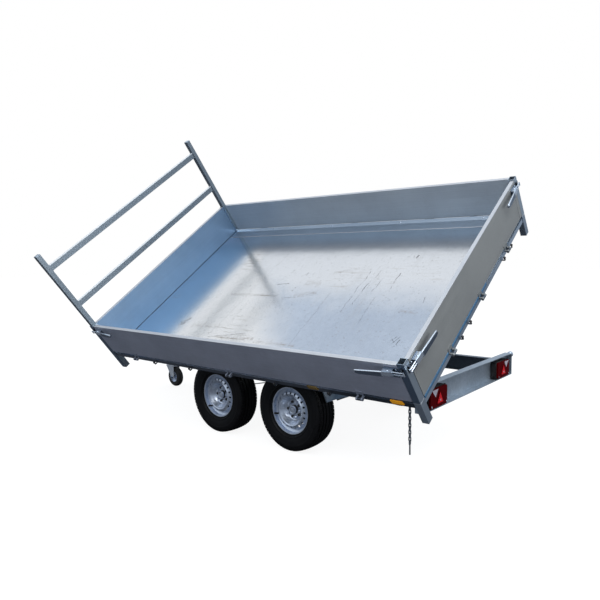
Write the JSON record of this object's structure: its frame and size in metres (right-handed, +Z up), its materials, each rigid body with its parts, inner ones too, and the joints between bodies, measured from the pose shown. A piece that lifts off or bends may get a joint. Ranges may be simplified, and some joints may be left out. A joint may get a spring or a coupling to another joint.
{
  "type": "three-way tipper trailer",
  "caption": "Tandem-axle flatbed tipper trailer with drop sides and a front ladder rack, its bed tipped to the left on ball pivots by a telescopic cylinder.",
  "frame": {"origin": "on the ground, on the centreline, midway between the two axles", "axes": "+X forward to the coupling, +Y to the trailer's left (the side it is tipped to), +Z up"},
  "size_m": [4.5771, 2.4334, 2.5209],
  "materials": {
    "galvanised_frame": "hot-dip galvanised",
    "zinc_fittings": "bright zinc",
    "galvanised_sheet": "galvanised sheet",
    "side_panels": "galvanised sheet, weathered",
    "lamp_black": "satin",
    "lamp_red": "gloss",
    "lamp_clear": "gloss",
    "amber_reflector": "gloss",
    "cast_fittings": "rough cast",
    "bellows_rubber": "matte",
    "box_plastic": "grained",
    "ram_black": "gloss paint",
    "ram_steel": "polished",
    "jockey_rubber": "matte",
    "tyre_rubber": "matte",
    "wheel_silver": "silver paint",
    "hub_cast": "rough cast"
  },
  "bodies": {
    "chassis": {"chassis_rails": "galvanised_frame", "drawbar_legs": "galvanised_frame", "crossmembers": "galvanised_frame", "rear_beam": "galvanised_frame", "tip_balls": "zinc_fittings", "lamp_housings": "lamp_black", "lamp_red_lenses": "lamp_red", "lamp_clear_lenses": "lamp_clear", "axle_tubes": "galvanised_frame", "swing_arms": "galvanised_frame", "mudguards": "galvanised_sheet", "overrun_housing": "cast_fittings", "overrun_bellows": "bellows_rubber", "coupling_head": "cast_fittings", "handbrake_lever": "zinc_fittings", "brake_linkage": "zinc_fittings", "jockey_tube": "zinc_fittings", "pump_box": "box_plastic", "cylinder_cradle": "galvanised_frame", "locking_chain": "zinc_fittings"},
    "front_left_wheel": {"front_left_tyre": "tyre_rubber", "front_left_rim": "wheel_silver", "front_left_hub": "hub_cast"},
    "front_right_wheel": {"front_right_tyre": "tyre_rubber", "front_right_rim": "wheel_silver", "front_right_hub": "hub_cast"},
    "rear_left_wheel": {"rear_left_tyre": "tyre_rubber", "rear_left_rim": "wheel_silver", "rear_left_hub": "hub_cast"},
    "rear_right_wheel": {"rear_right_tyre": "tyre_rubber", "rear_right_rim": "wheel_silver", "rear_right_hub": "hub_cast"},
    "jockey_caster": {"jockey_fork": "zinc_fittings"},
    "jockey_wheel": {"jockey_tyre": "jockey_rubber", "jockey_rim": "zinc_fittings"},
    "bed": {"bed_floor": "galvanised_sheet", "bed_beams": "galvanised_frame", "bed_crossbars": "galvanised_frame", "bed_edge_rails": "galvanised_sheet", "bed_sockets": "zinc_fittings", "front_wall": "side_panels", "front_posts": "galvanised_sheet", "ladder_rack": "galvanised_sheet", "rear_posts": "galvanised_sheet", "post_pockets": "galvanised_sheet", "side_reflectors": "amber_reflector", "bed_fittings": "zinc_fittings"},
    "left_drop_side": {"left_side": "side_panels", "left_side_fittings": "zinc_fittings"},
    "right_drop_side": {"right_side": "side_panels", "right_side_fittings": "zinc_fittings"},
    "rear_gate": {"tailgate": "side_panels", "tailgate_fittings": "zinc_fittings"},
    "ram_barrel": {"cylinder_barrel": "ram_black"},
    "ram_stage_1": {"cylinder_stage_1": "ram_steel"},
    "ram_stage_2": {"cylinder_stage_2": "ram_steel"},
    "ram_stage_3": {"cylinder_stage_3": "ram_steel"}
  },
  "joints": [
    {"name": "front_left_spin", "type": "hinge", "parent": "chassis", "child": "front_left_wheel", "pos_m": [0.385, 0.739, 0.296], "axis": [0, 1, 0], "continuous": true},
    {"name": "front_right_spin", "type": "hinge", "parent": "chassis", "child": "front_right_wheel", "pos_m": [0.385, -0.739, 0.296], "axis": [0, 1, 0], "continuous": true},
    {"name": "rear_left_spin", "type": "hinge", "parent": "chassis", "child": "rear_left_wheel", "pos_m": [-0.385, 0.739, 0.296], "axis": [0, 1, 0], "continuous": true},
    {"name": "rear_right_spin", "type": "hinge", "parent": "chassis", "child": "rear_right_wheel", "pos_m": [-0.385, -0.739, 0.296], "axis": [0, 1, 0], "continuous": true},
    {"name": "jockey_swivel", "type": "hinge", "parent": "chassis", "child": "jockey_caster", "pos_m": [2.12, 0, 0.25], "axis": [0, 0, 1], "continuous": true},
    {"name": "jockey_spin", "type": "hinge", "parent": "jockey_caster", "child": "jockey_wheel", "pos_m": [2.035, 0, 0.105], "axis": [0, 1, 0], "continuous": true},
    {"name": "bed_tip", "type": "hinge", "parent": "chassis", "child": "bed", "pos_m": [0, 0.749, 0.57], "axis": [-1, 0, 0], "range_deg": [-36, 0]},
    {"name": "left_side_drop", "type": "hinge", "parent": "bed", "child": "left_drop_side", "pos_m": [0.029, 1.00178, 0.53343], "axis": [1, 0, 0], "range_deg": [-180, 0]},
    {"name": "right_side_drop", "type": "hinge", "parent": "bed", "child": "right_drop_side", "pos_m": [0.029, -0.5758, 1.67961], "axis": [-1, 0, 0], "range_deg": [-180, 0]},
    {"name": "rear_gate_drop", "type": "hinge", "parent": "bed", "child": "rear_gate", "pos_m": [-1.569, 0.21299, 1.10652], "axis": [0, 0.809, -0.5878], "range_deg": [-180, 0]},
    {"name": "ram_lean", "type": "hinge", "parent": "chassis", "child": "ram_barrel", "pos_m": [0.029, 0, 0.43], "axis": [-1, 0, 0], "range_deg": [-15.61, 0.5]},
    {"name": "ram_stage_1_slide", "type": "slide", "parent": "ram_barrel", "child": "ram_stage_1", "axis": [0, 0.2607, 0.9654], "range_m": [-0.1527, 0.001]},
    {"name": "ram_stage_2_slide", "type": "slide", "parent": "ram_stage_1", "child": "ram_stage_2", "axis": [0, 0.2607, 0.9654], "range_m": [-0.1527, 0.001]},
    {"name": "ram_stage_3_slide", "type": "slide", "parent": "ram_stage_2", "child": "ram_stage_3", "axis": [0, 0.2607, 0.9654], "range_m": [-0.1527, 0.001]}
  ],
  "couplings": [
    {"joint": "ram_lean", "follows": "bed_tip", "ratio": 0.41981},
    {"joint": "ram_stage_1_slide", "follows": "bed_tip", "m_per_rad": 0.24141},
    {"joint": "ram_stage_2_slide", "follows": "bed_tip", "m_per_rad": 0.24141},
    {"joint": "ram_stage_3_slide", "follows": "bed_tip", "m_per_rad": 0.24141}
  ]
}
